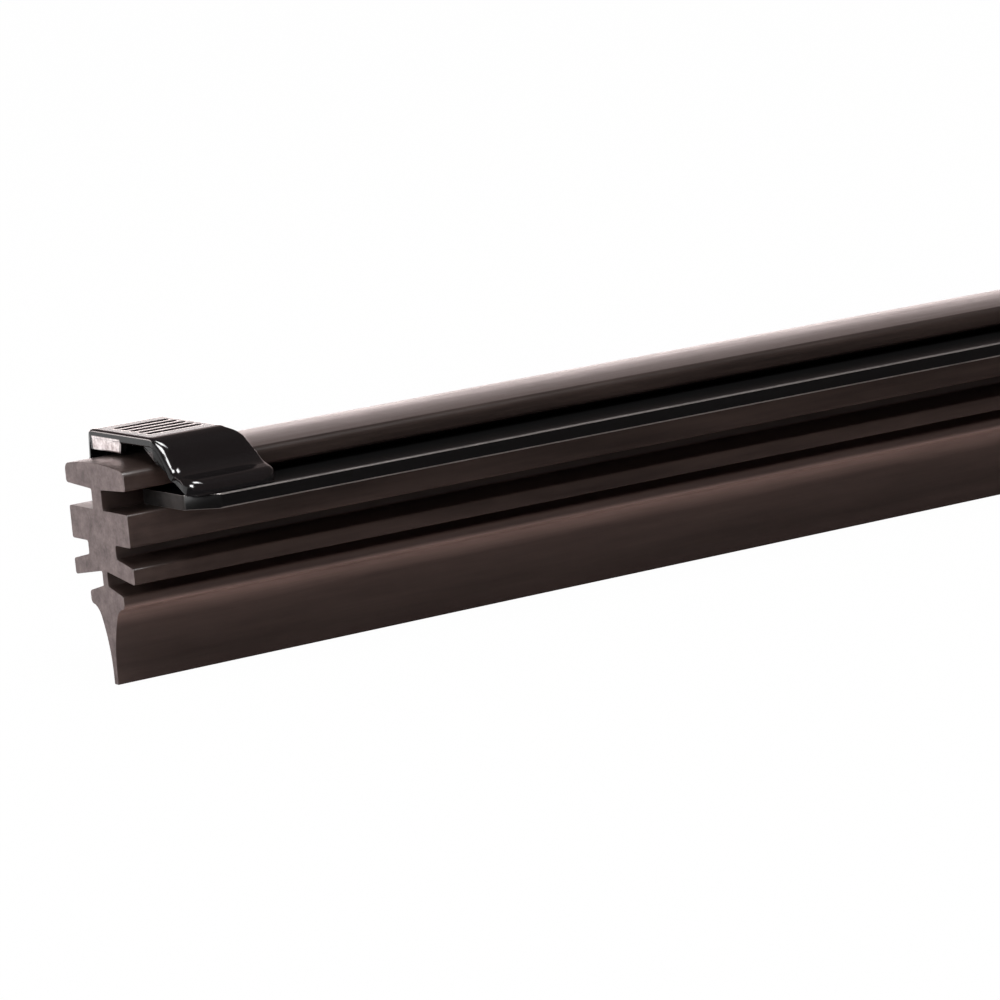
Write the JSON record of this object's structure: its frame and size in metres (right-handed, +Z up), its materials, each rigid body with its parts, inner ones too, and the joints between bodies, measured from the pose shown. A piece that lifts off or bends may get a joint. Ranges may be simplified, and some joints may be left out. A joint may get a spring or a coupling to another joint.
{
  "type": "wiper blade refill",
  "caption": "Rubber wiper blade refill: a headed rubber profile with a tapered wiping lip, held between two flat steel strips by a bent sheet clip at each end.",
  "frame": {"origin": "middle of the blade's length, midway between the two backing strips, half way up their thickness", "axes": "+X along the blade, with the end that the picture shows at -X; +Y across the blade, away from the picture's camera; +Z up from the wiping lip to the head"},
  "size_m": [0.3, 0.0142, 0.0145],
  "materials": {
    "rubber": "matt extruded black rubber with a brownish cast",
    "strip_steel": "thin satin black coating on flat spring steel",
    "clip_paint": "gloss black enamel on pressed sheet steel"
  },
  "bodies": {
    "root": {"wiping_rubber": "rubber", "backing_strip_front": "strip_steel", "backing_strip_back": "strip_steel", "end_clip_left": "clip_paint", "end_clip_right": "clip_paint"}
  },
  "joints": []
}
